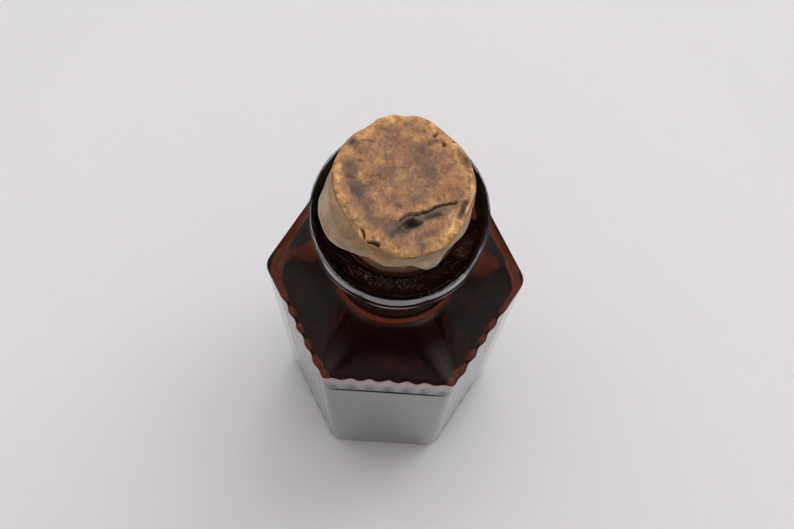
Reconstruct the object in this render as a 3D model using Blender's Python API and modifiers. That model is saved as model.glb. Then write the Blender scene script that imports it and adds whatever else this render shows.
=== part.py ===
"""Six-sided amber medicine bottle, with its cork and the dried skin that sealed it.

Lengths are in metres and +Z is up. The origin is the centre of the base, the label panel faces -Y,
and two of the body's corners point along -X and +X, where the two halves of the mould met.

The bottle's outside is a loft: a fluted hexagon whose corners grow rounder up the shoulder until
they make the round neck. The lip is turned. The hollow is a second loft, and its bore is the cone
that the cork fits.
"""

from math import acos, atan2, cos, pi, radians, sin, sqrt, tan

import bmesh
import bpy
import numpy as np
from mathutils import Matrix, Vector

# Body
FACE_WIDTH = 0.0200            # one of the six faces, corner to corner
SHOULDER_HEIGHT = 0.0760       # from the base to the shoulder's edge
WALL = 0.0026
BASE_THICKNESS = 0.0045
CORNER_RADIUS = 0.0025         # the four front and back corners
SEAM_CORNER_RADIUS = 0.0024    # the two side corners
HEEL_RADIUS = 0.0030           # round the foot of the walls
PUSH_UP_RADIUS = 0.0105        # the shallow hollow under the base
PUSH_UP_DEPTH = 0.0010

# Flutes: every one of the front face's, and those of the faces beside it that clear the mould seam
FRONT_FLUTES = 7
SIDE_FLUTES = 5
FLUTE_DEPTH = 0.00030
FLUTE_RUNOUT = 0.0014          # height over which a flute fades out at its foot
PANEL_DROP = 0.0088            # from the shoulder's edge down to the label panel
PANEL_PROUD = 0.00015          # the panel stands out this far from the ridges above it
PANEL_LEDGE = 0.00020          # height of the sloping ledge on top of the panel

# Shoulder
SHOULDER_RISE = 0.0074         # from the shoulder's edge to the foot of the neck
SHOULDER_EDGE_RADIUS = 0.0008
SHOULDER_CROWN = 0.00030       # how far the slope bulges
NECK_FOOT_RADIUS = 0.0024      # the hollow curve where the slope meets the neck

# Neck and lip
SEAT_RADIUS = 0.0079           # the bore's mouth, where the cork wedges
TAPER_SHARE = 0.080            # how much narrower in radius the bore gets, per length down it
NECK_WALL = 0.0014             # glass round the bore's mouth
NECK_HEIGHT = 0.0194           # from the foot of the neck to the lip
LIP_HEIGHT = 0.0058
LIP_EDGE_RADIUS = 0.00050
LIP_CROWN = 0.00015            # how far the lip's side bulges
LIP_BEAD = 0.0013              # height of the bead at the lip's foot
LIP_GROOVE = 0.0002            # depth of the groove above the bead, and half its height
LIP_UNDERCUT = 0.0016          # the drop of the lip's underside on its way in to the neck
RIM_WIDTH = 0.0006             # the narrow ring round the top of the funnel
FUNNEL_WIDTH = 0.0032
FUNNEL_DEPTH = 0.0027

# Cork
CORK_LENGTH = 0.0245
CORK_PROUD = 0.0116            # how far it stands above the lip
CORK_EDGE_RADIUS = 0.00050
HEAD_TAPER_SHARE = 0.125       # the head above the seat was never squeezed, so it widens faster
HEAD_OVAL_SHARE = 0.055        # and it has dried narrower one way
FISSURE_LENGTH = 0.0081        # the split across the top
FISSURE_WIDTH = 0.0007
FISSURE_DEPTH = 0.0013
FISSURE_OFFSET = 0.0041        # from the cork's middle, square to the split
FISSURE_SHIFT = 0.0018         # from the cork's middle, along the split
PIT_LENGTH = 0.0030            # the hollow beside the split
PIT_WIDTH = 0.0019
CHIP_RADIUS = 0.0009           # bites out of the top's edge
CHIP_DEPTH = 0.0012

# Skin
CLEARANCE = 0.0003             # between the cork and the bore, and between the skin and the cork
SKIN_THICKNESS = 0.0004
SKIN_BELOW_TOP = 0.0009        # from the cork's top edge to the skin's
SKIN_BAND = 0.0042             # the least height of skin left all round
LOBE_DROP = 0.0042             # how much lower the longest lobe hangs
LOBE_FLARE = 0.0019            # how far that lobe's edge stands off the cork

# Directions and counts
FRONT = -90.0                  # degrees round from +X
FULL_TURN = 360.0
FACE_ANGLE = 60.0
HALF_FACE = 30.0
OVAL_TURN = 170.0              # the way in which the cork's head is narrow
FISSURE_TURN = 19.0
PIT_ALONG_SHARE = -0.25        # the pit's place along the split, from its middle
PIT_BESIDE_SHARE = -0.70       # and beside it, in pit widths
CHIP_TURNS = (-110.0, -124.0, -8.0)
FLUTE_STEPS = 6
FACE_STEPS = 12
ARC_STEPS = 4
BORE_SEGMENTS = 60
LIP_SEGMENTS = 60
CORK_SEGMENTS = 48
PIT_SEGMENTS = 14
CHIP_SEGMENTS = 10
SKIN_ROWS = 6
CUT = 0.0010                   # cutters overrun what they cut by this much
MERGE_DISTANCE = 0.00001       # points of a turned shape closer than this are one
CORNER_POWER = 1.4             # the shoulder's corners grow round late
FLARE_POWER = 1.5              # and the skin's lobes curl out late
LOBE_FLANK_SHARE = 0.9         # the part of a lobe's half width over which it rises
SHOULDER_SHARES = (0.16, 0.28, 0.42, 0.56, 0.70)
HOLLOW_SHARES = (0.45, 0.65)

# Each lobe of the skin: direction and half width in degrees, then shares of the longest lobe's
# drop and flare
LOBE_SHARES = (
    (190.0, 58.0, 1.00, 1.00),
    (298.0, 18.0, 0.45, 0.42),
    (340.0, 24.0, 0.18, 0.22),
    (14.0, 32.0, 0.15, 0.30),
    (85.0, 46.0, 0.40, 0.25),
)

# Sizes that follow from those above
FLAT = FACE_WIDTH * sqrt(3) / 2
FLUTE_PITCH = FACE_WIDTH / FRONT_FLUTES
PANEL_TOP = SHOULDER_HEIGHT - PANEL_DROP
LEDGE_TOP = PANEL_TOP + PANEL_LEDGE
NECK_RADIUS = SEAT_RADIUS + NECK_WALL
MOUTH_RADIUS = SEAT_RADIUS + FUNNEL_WIDTH
LIP_RADIUS = MOUTH_RADIUS + RIM_WIDTH
NECK_FOOT = SHOULDER_HEIGHT + SHOULDER_RISE
LIP_BOTTOM = NECK_FOOT + NECK_HEIGHT
LIP_TOP = LIP_BOTTOM + LIP_HEIGHT
SEAT_HEIGHT = LIP_TOP - FUNNEL_DEPTH
CORK_TOP = LIP_TOP + CORK_PROUD
CORK_BOTTOM = CORK_TOP - CORK_LENGTH


def bore_radius(height):
    """The tapered seat, a cone that runs through the bore's mouth."""
    return SEAT_RADIUS + TAPER_SHARE * (height - SEAT_HEIGHT)


def cork_outline(turns, height):
    """The cork's outline at a height: a round shank a clearance inside the seat, an oval head."""
    above = np.maximum(height - SEAT_HEIGHT, 0)
    below = np.minimum(height - SEAT_HEIGHT, 0)
    shank = SEAT_RADIUS - CLEARANCE + TAPER_SHARE * below + HEAD_TAPER_SHARE * above
    narrow = np.cos(np.radians(turns - OVAL_TURN)) ** 2
    return shank * (1 - HEAD_OVAL_SHARE * narrow * above / (CORK_TOP - SEAT_HEIGHT))


def rounded(corners):
    """A profile's points, from corners given as distance out, height and fillet radius."""
    path = [Vector(corners[0][:2])]
    for before, corner, after in zip(corners, corners[1:], corners[2:]):
        here = Vector(corner[:2])
        if not corner[2]:
            path.append(here)
            continue
        back = (Vector(before[:2]) - here).normalized()
        onward = (Vector(after[:2]) - here).normalized()
        half = back.angle(onward) / 2
        centre = here + (back + onward).normalized() * corner[2] / sin(half)
        spoke = here + back * corner[2] / tan(half) - centre
        sweep = (pi - 2 * half) * (-1 if back.cross(onward) > 0 else 1)
        for step in range(ARC_STEPS + 1):
            turn = Matrix.Rotation(sweep * step / ARC_STEPS, 2)
            path.append(centre + turn @ spoke)
    path.append(Vector(corners[-1][:2]))
    return path


def slope_points(top, bottom, shares, crown):
    """Corners along a slope from bottom to top, raised by a crown in the middle."""
    top, bottom = Vector(top), Vector(bottom)
    along = top - bottom
    outward = Vector((along.y, -along.x)).normalized()
    points = [bottom + along * share + outward * crown * sin(pi * share) for share in shares]
    return [(point.x, point.y, 0) for point in points]


def rounded_hexagon(turns, flat, corner, seam_corner):
    """Distance from the axis to a hexagon's outline: straight faces, each corner an arc."""
    off = np.radians(np.abs((turns - FRONT + HALF_FACE) % FACE_ANGLE - HALF_FACE))
    at_seam = np.abs((turns + 90.0) % 180.0 - 90.0) < HALF_FACE
    radius = np.where(at_seam, seam_corner, corner)
    half = radians(HALF_FACE)
    centre = (flat - radius) / cos(half)
    across = centre * np.sin(half - off)
    on_arc = centre * np.cos(half - off) + np.sqrt(np.maximum(radius**2 - across**2, 0))
    on_face = flat / np.cos(off)
    arc_starts = np.arctan((flat - radius) * tan(half) / flat)
    return np.where(off > arc_starts, on_arc, on_face)


def flute_turns():
    """Directions of the outline's points, close together where there are flutes."""
    half = FACE_WIDTH / 2
    places = np.arange(FRONT_FLUTES * FLUTE_STEPS + 1) / FLUTE_STEPS * FLUTE_PITCH - half
    front = np.degrees(np.arctan(places / FLAT))
    fluted = front[: SIDE_FLUTES * FLUTE_STEPS + 1]
    plain = np.linspace(fluted[-1], HALF_FACE, FACE_STEPS // 2 + 1)
    side = np.concatenate([fluted, plain[1:]])
    back = HALF_FACE * np.sin(np.linspace(-pi / 2, pi / 2, FACE_STEPS + 1))
    faces = [front, side, back, back, back, -side[::-1]]
    return np.concatenate([FRONT + FACE_ANGLE * k + face[:-1] for k, face in enumerate(faces)])


def flute_cuts(turns):
    """How deep the flutes are in each direction, a wave from 0 on a ridge to 1: on the front and
    on the faces beside it. Last, where the band stands back above the panel."""
    face = np.floor((turns - FRONT + HALF_FACE) / FACE_ANGLE) % 6
    off = np.radians((turns - FRONT + HALF_FACE) % FACE_ANGLE - HALF_FACE)
    place = (FLAT * np.tan(off) + FACE_WIDTH / 2) / FLUTE_PITCH
    from_front = np.where(face == 5, FRONT_FLUTES - place, place)
    hollow = (1 - np.cos(2 * pi * place)) / 2
    on_front = face == 0
    on_side = ((face == 1) | (face == 5)) & (from_front < SIDE_FLUTES)
    band = on_front * np.clip(np.minimum(place, FRONT_FLUTES - place), 0, 1)
    return hollow * on_front, hollow * on_side, band


def risen_share(height, start, rise):
    """0 up to a start height, 1 after a rise above it, and even between them."""
    return min(1, max(0, (height - start) / rise))


def loft(name, rings):
    """A closed mesh through rings of equally many points, with a flat cap at each end."""
    rows, count = rings.shape[:2]
    index = np.arange(rows * count).reshape(rows, count)
    nearby = np.roll(index, -1, axis=1)
    quads = np.stack([index[:-1], nearby[:-1], nearby[1:], index[1:]], axis=-1)
    faces = quads.reshape(-1, 4).tolist()
    faces += [index[0, ::-1].tolist(), index[-1].tolist()]
    mesh = bpy.data.meshes.new(name)
    mesh.from_pydata(rings.reshape(-1, 3).tolist(), [], faces)
    return mesh


def even_turns(count):
    """Evenly spaced directions round the axis, in degrees."""
    return np.arange(count) * FULL_TURN / count


def ring(turns, distances, height):
    """Points round the axis at one height."""
    angles = np.radians(turns)
    heights = np.full(len(turns), height)
    return np.stack([distances * np.cos(angles), distances * np.sin(angles), heights], axis=-1)


def add_object(name, mesh, collection, material=None):
    """Puts a mesh into the scene, shaded smooth between its sharp edges."""
    piece = bpy.data.objects.new(name, mesh)
    collection.objects.link(piece)
    mesh.shade_smooth()
    mesh.set_sharp_from_angle(angle=radians(HALF_FACE))
    if material:
        mesh.materials.append(material)
    return piece


def add_cutter(name, mesh, collection):
    """A shape that only cuts or joins, so it is drawn as wire and never rendered."""
    cutter = add_object(name, mesh, collection)
    cutter.display_type = "WIRE"
    cutter.hide_render = True
    return cutter


def combine(piece, other, operation):
    """Joins another shape to the piece, or cuts it away."""
    boolean = piece.modifiers.new(other.name, "BOOLEAN")
    boolean.operation = operation
    boolean.object = other


def turned(name, corners, collection):
    """A solid turned on the Z axis from a profile that runs down its outer side."""
    path = rounded(corners)
    mesh = bpy.data.meshes.new(name)
    edges = [(k, k + 1) for k in range(len(path) - 1)]
    mesh.from_pydata([(point.x, 0, point.y) for point in path], edges, [])
    piece = add_cutter(name, mesh, collection)
    screw = piece.modifiers.new("turn", "SCREW")
    screw.steps = LIP_SEGMENTS
    screw.render_steps = LIP_SEGMENTS
    screw.use_merge_vertices = True
    screw.merge_threshold = MERGE_DISTANCE
    return piece


def finish(name, colour, roughness, transmission=0.0):
    """A plain finish in linear colour."""
    material = bpy.data.materials.new(name)
    material.use_nodes = True
    shader = material.node_tree.nodes["Principled BSDF"]
    shader.inputs["Base Color"].default_value = (*colour, 1)
    shader.inputs["Roughness"].default_value = roughness
    shader.inputs["Metallic"].default_value = 0.0
    shader.inputs["Transmission Weight"].default_value = transmission
    return material


def body_loft():
    """The bottle's outside up to the neck: flutes on the walls, then hexagon into round."""
    slope = atan2(SHOULDER_RISE, FLAT - NECK_RADIUS)
    inside_neck = NECK_RADIUS - CLEARANCE
    edge = (FLAT, SHOULDER_HEIGHT)
    foot = (inside_neck, SHOULDER_HEIGHT + (FLAT - inside_neck) * tan(slope))
    profile = rounded([
        (0, 0),
        (FLAT, 0, HEEL_RADIUS),
        (FLAT, HEEL_RADIUS + FLUTE_RUNOUT, 0),
        (FLAT, PANEL_TOP, 0),
        (FLAT, LEDGE_TOP, 0),
        (FLAT, LEDGE_TOP + FLUTE_RUNOUT, 0),
        (*edge, SHOULDER_EDGE_RADIUS),
        *slope_points(foot, edge, SHOULDER_SHARES, SHOULDER_CROWN),
        (*foot, NECK_FOOT_RADIUS),
        (inside_neck, NECK_FOOT + NECK_FOOT_RADIUS),
    ])[1:]
    turns = flute_turns()
    front_cut, side_cut, band = flute_cuts(turns)
    fade = SHOULDER_EDGE_RADIUS
    rings = []
    for flat, height in profile:
        inset = FLAT - flat
        on_shoulder = height > PANEL_TOP and inset > 0
        grown = (inset / (FLAT - inside_neck)) ** CORNER_POWER if on_shoulder else 0
        corner = CORNER_RADIUS + (inside_neck - CORNER_RADIUS) * grown
        seam_corner = SEAM_CORNER_RADIUS + (inside_neck - SEAM_CORNER_RADIUS) * grown
        outline = rounded_hexagon(turns, flat, corner, seam_corner)
        left_over = max(0, 1 - inset / fade)
        side_depth = FLUTE_DEPTH * risen_share(height, HEEL_RADIUS, FLUTE_RUNOUT)
        front_depth = FLUTE_DEPTH * risen_share(height, LEDGE_TOP, FLUTE_RUNOUT)
        stand_back = PANEL_PROUD * risen_share(height, PANEL_TOP, PANEL_LEDGE)
        cut = side_depth * side_cut + front_depth * front_cut + stand_back * band
        rings.append(ring(turns, outline - left_over * cut, height))
    return loft("bottle", np.array(rings))


def hollow_loft():
    """The inside: a plainer hexagon that follows the walls, the bore, the seat and the funnel."""
    slope = atan2(SHOULDER_RISE, FLAT - NECK_RADIUS)
    flat = FLAT - WALL
    edge = (flat, SHOULDER_HEIGHT - WALL * tan((pi / 2 - slope) / 2))
    throat = bore_radius(CORK_BOTTOM)
    foot = (throat, edge[1] + (flat - throat) * tan(slope))
    inner_corner = CORNER_RADIUS + WALL
    profile = rounded([
        (0, BASE_THICKNESS),
        (flat, BASE_THICKNESS, HEEL_RADIUS),
        (*edge, SHOULDER_EDGE_RADIUS + WALL),
        *slope_points(foot, edge, HOLLOW_SHARES, 0),
        (*foot, NECK_FOOT_RADIUS),
        (throat, CORK_BOTTOM, 0),
        (SEAT_RADIUS, SEAT_HEIGHT, FUNNEL_DEPTH / 2),
        (MOUTH_RADIUS, LIP_TOP, 0),
        (MOUTH_RADIUS, LIP_TOP + CUT),
    ])[1:]
    turns = even_turns(BORE_SEGMENTS)
    rings = []
    for distance, height in profile:
        on_shoulder = height > SHOULDER_HEIGHT / 2 and distance < flat
        grown = min(1, (flat - distance) / (flat - throat)) if on_shoulder else 0
        corner = inner_corner + (throat - inner_corner) * grown
        if height > foot[1] or corner > distance:
            corner = distance
        rings.append(ring(turns, rounded_hexagon(turns, distance, corner, corner), height))
    return loft("hollow", np.array(rings))


def lip_and_neck(cutters):
    """The turned neck and lip, solid until the hollow is cut through them."""
    under = LIP_BOTTOM - LIP_UNDERCUT
    crown = LIP_RADIUS + LIP_CROWN
    groove = LIP_BOTTOM + LIP_BEAD
    return turned("lip_and_neck", [
        (0, LIP_TOP),
        (LIP_RADIUS, LIP_TOP, LIP_EDGE_RADIUS),
        (crown, LIP_BOTTOM + LIP_HEIGHT / 2, 0),
        (LIP_RADIUS, groove + LIP_GROOVE, 0),
        (LIP_RADIUS - LIP_GROOVE, groove, 0),
        (LIP_RADIUS, groove - LIP_GROOVE, 0),
        (LIP_RADIUS, LIP_BOTTOM, LIP_EDGE_RADIUS),
        (NECK_RADIUS, under, LIP_UNDERCUT / 2),
        (NECK_RADIUS, SHOULDER_HEIGHT, 0),
        (0, SHOULDER_HEIGHT),
    ], cutters)


def push_up(cutters):
    """The lens that hollows the underside of the base: the cap of a large ball."""
    ball = (PUSH_UP_RADIUS**2 + PUSH_UP_DEPTH**2) / (2 * PUSH_UP_DEPTH)
    spread = acos(1 - (PUSH_UP_DEPTH + CUT) / ball)
    angles = [spread * step / ARC_STEPS for step in range(ARC_STEPS + 1)]
    dome = [(ball * sin(angle), PUSH_UP_DEPTH - ball * (1 - cos(angle)), 0) for angle in angles]
    return turned("push_up", [*dome, (0, -CUT)], cutters)


def build_bottle(parts, cutters):
    """Body loft and turned lip in one piece of glass, hollowed and pushed up underneath."""
    glass = finish("amber_glass", (0.068, 0.010, 0.0075), 0.06, transmission=0.8)
    bottle = add_object("bottle", body_loft(), parts, glass)
    combine(bottle, lip_and_neck(cutters), "UNION")
    combine(bottle, add_cutter("hollow", hollow_loft(), cutters), "DIFFERENCE")
    combine(bottle, push_up(cutters), "DIFFERENCE")
    return bottle


def primitive(make, matrix, **sizes):
    """A mesh of one bmesh primitive."""
    shape = bmesh.new()
    make(shape, matrix=matrix, **sizes)
    bmesh.ops.recalc_face_normals(shape, faces=shape.faces)
    mesh = bpy.data.meshes.new("primitive")
    shape.to_mesh(mesh)
    shape.free()
    return mesh


def cut_cork(cork, cutters):
    """The split across the top, the pit it opened into and the bites out of the edge."""
    turn = Matrix.Rotation(radians(FISSURE_TURN), 4, "Z")
    top = Matrix.Translation((0, 0, CORK_LENGTH / 2))
    across = turn @ Matrix.Translation((FISSURE_SHIFT, -FISSURE_OFFSET, 0))
    lie_down = Matrix.Rotation(pi / 2, 4, "Y")
    wedge = (FISSURE_DEPTH / sin(pi / 3), FISSURE_WIDTH / (1 + cos(pi / 3)), FISSURE_LENGTH, 1)
    split = primitive(
        bmesh.ops.create_cone, top @ across @ lie_down @ Matrix.Diagonal(wedge), segments=3,
        radius1=1, radius2=1, depth=1, cap_ends=True,
    )
    shapes = [("split", split)]
    pit_scale = Matrix.Diagonal((PIT_LENGTH / 2, PIT_WIDTH / 2, PIT_WIDTH / 2, 1))
    pit_place = (PIT_ALONG_SHARE * FISSURE_LENGTH, PIT_BESIDE_SHARE * PIT_WIDTH, 0)
    pit_place = Matrix.Translation(pit_place)
    pit = primitive(
        bmesh.ops.create_uvsphere, top @ across @ pit_place @ pit_scale,
        u_segments=PIT_SEGMENTS, v_segments=PIT_SEGMENTS // 2, radius=1,
    )
    shapes.append(("pit", pit))
    chip_scale = Matrix.Diagonal((CHIP_RADIUS, CHIP_RADIUS, CHIP_DEPTH, 1))
    for number, chip_turn in enumerate(CHIP_TURNS):
        place = Matrix.Rotation(radians(chip_turn), 4, "Z")
        place = top @ place @ Matrix.Translation((cork_outline(chip_turn, CORK_TOP), 0, 0))
        chip = primitive(
            bmesh.ops.create_uvsphere, place @ chip_scale,
            u_segments=CHIP_SEGMENTS, v_segments=CHIP_SEGMENTS // 2, radius=1,
        )
        shapes.append((f"chip_{number + 1}", chip))
    for name, mesh in shapes:
        cutter = add_cutter(name, mesh, cutters)
        cutter.parent = cork
        combine(cork, cutter, "DIFFERENCE")


def build_cork(parts, cutters):
    """A tapered cork on the axis, its origin halfway up it on the line that it slides along."""
    middle = CORK_BOTTOM + CORK_LENGTH / 2
    turns = even_turns(CORK_SEGMENTS)
    heights = (CORK_BOTTOM, SEAT_HEIGHT, (SEAT_HEIGHT + CORK_TOP) / 2, CORK_TOP)
    rings = [ring(turns, cork_outline(turns, height), height - middle) for height in heights]
    cork = add_object("cork", loft("cork", np.array(rings)), parts)
    cork.data.materials.append(finish("old_cork", (0.40, 0.205, 0.098), 0.85))
    cork.location = (0, 0, middle)
    edge = cork.modifiers.new("worn_edges", "BEVEL")
    edge.width = CORK_EDGE_RADIUS
    edge.segments = 2
    edge.limit_method = "ANGLE"
    edge.angle_limit = radians(HALF_FACE)
    cut_cork(cork, cutters)
    return cork


def build_skin(parts, cork):
    """A thin sleeve round the cork whose lower edge hangs in lobes and flares away from it."""
    turns = even_turns(CORK_SEGMENTS)
    drop = np.zeros(CORK_SEGMENTS)
    flare = np.zeros(CORK_SEGMENTS)
    for direction, half_width, drop_share, flare_share in LOBE_SHARES:
        away = (turns - direction + FULL_TURN / 2) % FULL_TURN - FULL_TURN / 2
        away = np.abs(away) / half_width
        risen = np.clip((1 - away) / LOBE_FLANK_SHARE, 0, 1)
        swell = risen * risen * (3 - 2 * risen)
        drop = np.maximum(drop, LOBE_DROP * drop_share * swell)
        flare = np.maximum(flare, LOBE_FLARE * flare_share * swell)
    top = CORK_TOP - SKIN_BELOW_TOP
    shares = np.linspace(0, 1, SKIN_ROWS)[:, None]
    heights = top - shares * (SKIN_BAND + drop)
    distances = cork_outline(turns, heights) + CLEARANCE + flare * shares**FLARE_POWER
    angles = np.radians(turns)
    points = np.stack([distances * np.cos(angles), distances * np.sin(angles), heights], axis=-1)
    index = np.arange(SKIN_ROWS * CORK_SEGMENTS).reshape(SKIN_ROWS, CORK_SEGMENTS)
    nearby = np.roll(index, -1, axis=1)
    quads = np.stack([index[1:], nearby[1:], nearby[:-1], index[:-1]], axis=-1)
    mesh = bpy.data.meshes.new("seal_skin")
    mesh.from_pydata(points.reshape(-1, 3).tolist(), [], quads.reshape(-1, 4).tolist())
    skin = add_object("seal_skin", mesh, parts, finish("dried_skin", (0.26, 0.165, 0.105), 0.5))
    skin.parent = cork
    skin.matrix_parent_inverse = Matrix.Translation(cork.location).inverted()
    shell = skin.modifiers.new("thickness", "SOLIDIFY")
    shell.thickness = SKIN_THICKNESS
    shell.offset = 1
    return skin


def build():
    """The bottle, the cork in it and the skin round the cork."""
    for old in list(bpy.data.objects):
        bpy.data.objects.remove(old)
    parts = bpy.data.collections.new("medicine_bottle")
    cutters = bpy.data.collections.new("cutters")
    for collection in (parts, cutters):
        bpy.context.scene.collection.children.link(collection)
    build_bottle(parts, cutters)
    cork = build_cork(parts, cutters)
    build_skin(parts, cork)


build()
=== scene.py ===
# %% [markdown]
# # A six-sided amber medicine bottle with its old cork
#
# The bottle, the cork and the dried skin round the cork come from a solid model, which is loaded
# first and gives every place and size. This lesson puts finer surfaces over those solids: each one is
# a formula worked out on a grid of points with numpy, and each has a material built from noise and
# a few colours. One more piece is added, the crumbs that an old cork sheds.

# %% Load the model
from math import cos, pi, radians, sin, sqrt, tan

import bpy
import numpy as np
from mathutils import Matrix, Vector


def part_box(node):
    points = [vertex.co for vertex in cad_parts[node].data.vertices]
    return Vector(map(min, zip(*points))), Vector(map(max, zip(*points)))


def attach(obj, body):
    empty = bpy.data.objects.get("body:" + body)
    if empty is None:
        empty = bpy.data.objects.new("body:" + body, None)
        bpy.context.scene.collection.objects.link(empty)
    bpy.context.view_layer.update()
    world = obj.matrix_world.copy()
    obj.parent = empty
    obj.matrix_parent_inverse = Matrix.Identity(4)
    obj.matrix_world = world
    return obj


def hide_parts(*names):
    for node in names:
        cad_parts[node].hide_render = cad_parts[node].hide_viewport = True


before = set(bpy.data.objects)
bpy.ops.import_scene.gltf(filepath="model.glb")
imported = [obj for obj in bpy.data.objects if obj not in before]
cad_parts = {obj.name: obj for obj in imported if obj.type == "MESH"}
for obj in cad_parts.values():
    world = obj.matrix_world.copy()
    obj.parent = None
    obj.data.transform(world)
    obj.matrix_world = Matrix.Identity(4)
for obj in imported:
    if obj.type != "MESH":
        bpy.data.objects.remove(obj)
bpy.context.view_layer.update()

MM = 0.001
bottle_low, bottle_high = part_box("bottle")
cork_low, cork_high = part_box("cork")
print("bottle", [round(side / MM, 1) for side in bottle_high - bottle_low], "mm")

# %% [markdown]
# ## Tools that every piece uses
#
# A colour is written as it looks on a screen, in hex, but a renderer adds up light, so each channel
# is turned to a linear amount first. A shader is a chain of nodes, and one small function adds a
# node, sets it and links it. Uneven surfaces all come from one kind of soft random values.

# %% Colour, nodes and noise
def linear(hex_colour):
    """The amount of light in each channel c: ((c + 0.055) / 1.055) to the power 2.4, or c / 12.92
    where c is very dark."""
    channels = np.array([int(hex_colour[place:place + 2], 16) for place in (0, 2, 4)]) / 255
    light = np.where(channels > 0.04045, ((channels + 0.055) / 1.055) ** 2.4, channels / 12.92)
    return (*light.tolist(), 1.0)


def add_node(tree, kind, inputs=None, **settings):
    """Adds a node. Each input is a value, or another node's output to link to it."""
    node = tree.nodes.new(kind)
    for name, value in settings.items():
        setattr(node, name, value)
    for name, value in (inputs or {}).items():
        if isinstance(value, bpy.types.NodeSocket):
            tree.links.new(value, node.inputs[name])
        else:
            node.inputs[name].default_value = value
    return node


def empty_material(name):
    """A new material and its node tree, with no nodes in it yet."""
    material = bpy.data.materials.new(name)
    material.use_nodes = True
    material.node_tree.nodes.clear()
    return material, material.node_tree


def set_ramp(ramp, stops):
    """Sets a colour ramp's stops, given as place and colour."""
    elements = ramp.color_ramp.elements
    while len(elements) < len(stops):
        elements.new(1.0)
    for element, (place, hex_colour) in zip(elements, stops):
        element.position = place
        element.color = linear(hex_colour)


def per_metre(size_mm):
    """The scale of a noise whose lumps are about this many millimetres wide."""
    return 1 / (size_mm * MM)


def soft_noise(points, size, seed):
    """Smooth random values from -1 to 1: every corner of a lattice of cubes `size` wide has a random
    number, and inside a cube the eight corners are blended by the smooth step 3t² - 2t³."""
    table = np.random.default_rng(seed).uniform(-1, 1, 4099)
    cells = np.asarray(points, float) / size
    low = np.floor(cells).astype(np.int64)
    part = cells - low
    blend = part * part * (3 - 2 * part)
    total = np.zeros(cells.shape[:-1])
    for corner in np.ndindex(2, 2, 2):
        keys = (low + corner) @ np.array([1619, 31337, 6971])
        share = np.prod(np.where(corner, blend, 1 - blend), axis=-1)
        total += table[keys % len(table)] * share
    return total


def smooth_step(value, start, end):
    """0 before start, 1 after end, and the smooth step 3t² - 2t³ between them."""
    share = np.clip((value - start) / (end - start), 0, 1)
    return share * share * (3 - 2 * share)


# %% [markdown]
# ## From a grid of points to a mesh
#
# All three pieces are closed skins, so they share one mesh builder. Its grid has one row for each
# station along a profile and one column for each direction round the axis. The last column joins
# the first. A row that shrinks to the axis is closed by a point there, and a loop of rows, such as
# a sleeve that goes down inside and up outside, joins its last row to its first.

# %% Meshes from grids
def grid_mesh(name, points, poles=None, marks=None):
    """A smooth closed mesh from rows of points in millimetres: quads between neighbours, then fans
    to the two poles, or from the last row back to the first where there are no poles. Marks are
    named values, one for each grid point, that a material can read."""
    rows, columns = points.shape[:2]
    index = np.arange(rows * columns).reshape(rows, columns)
    nearby = np.roll(index, -1, axis=1)
    above, above_nearby = np.roll(index, -1, axis=0), np.roll(nearby, -1, axis=0)
    quads = np.stack([index, nearby, above_nearby, above], axis=-1)
    faces = (quads if poles is None else quads[:-1]).reshape(-1, 4).tolist()
    vertices = points.reshape(-1, 3)
    if poles is not None:
        first, last = len(vertices), len(vertices) + 1
        vertices = np.vstack([vertices, poles])
        faces += [[first, b, a] for a, b in zip(index[0].tolist(), nearby[0].tolist())]
        faces += [[last, a, b] for a, b in zip(index[-1].tolist(), nearby[-1].tolist())]
    mesh = bpy.data.meshes.new(name)
    mesh.from_pydata((vertices * MM).tolist(), [], faces)
    for mark, values in (marks or {}).items():
        flat = np.zeros(len(vertices), np.float32)
        flat[:rows * columns] = values.ravel()
        mesh.attributes.new(mark, "FLOAT", "POINT").data.foreach_set("value", flat)
    mesh.shade_smooth()
    return mesh


def in_scene(name, data):
    """A new object that shows a mesh, a lamp or a camera, at the origin."""
    made = bpy.data.objects.new(name, data)
    bpy.context.scene.collection.objects.link(made)
    return made


def add_piece(name, mesh, body, node, material):
    """Shows a mesh that rides on a body, instead of the solid of one node where a node is named."""
    piece = in_scene(name, mesh)
    mesh.materials.append(material)
    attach(piece, body)
    if node:
        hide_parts(node)
    mesh.calc_loop_triangles()
    size = [round(side / MM, 1) for side in piece.dimensions]
    print(name, len(mesh.loop_triangles), "triangles,", size, "mm")


def on_axis(turns, distances, heights):
    """Points at these directions in degrees, distances from the axis and heights."""
    turns, distances, heights = np.broadcast_arrays(turns, distances, heights)
    angles = np.radians(turns)
    return np.stack([distances * np.cos(angles), distances * np.sin(angles), heights], axis=-1)


def filleted(corners, steps=8):
    """A path through corners given as distance out, height and fillet radius: straight lines, and
    at each fillet an arc that touches both lines. Its centre lies on the line that halves the
    corner, radius / sin(half the corner's angle) away."""
    path = [np.array([corners[0][:2]], float)]
    for before, corner, after in zip(corners, corners[1:], corners[2:]):
        here = np.array(corner[:2], float)
        back, onward = np.array(before[:2]) - here, np.array(after[:2]) - here
        back, onward = back / np.hypot(*back), onward / np.hypot(*onward)
        half = np.arccos(np.clip(back @ onward, -1, 1)) / 2
        if not corner[2] or half > pi / 2 - 0.001:
            path.append(here[None])
            continue
        middle = (back + onward) / np.hypot(*(back + onward))
        centre = here + middle * corner[2] / sin(half)
        spoke = here + back * corner[2] / tan(half) - centre
        side = 1 if back[0] * onward[1] - back[1] * onward[0] > 0 else -1
        turn = side * -np.linspace(0, pi - 2 * half, steps + 1)[:, None]
        square = np.array([-spoke[1], spoke[0]])
        path.append(centre + spoke * np.cos(turn) + square * np.sin(turn))
    path.append(np.array([corners[-1][:2]], float))
    return np.vstack(path)


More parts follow.
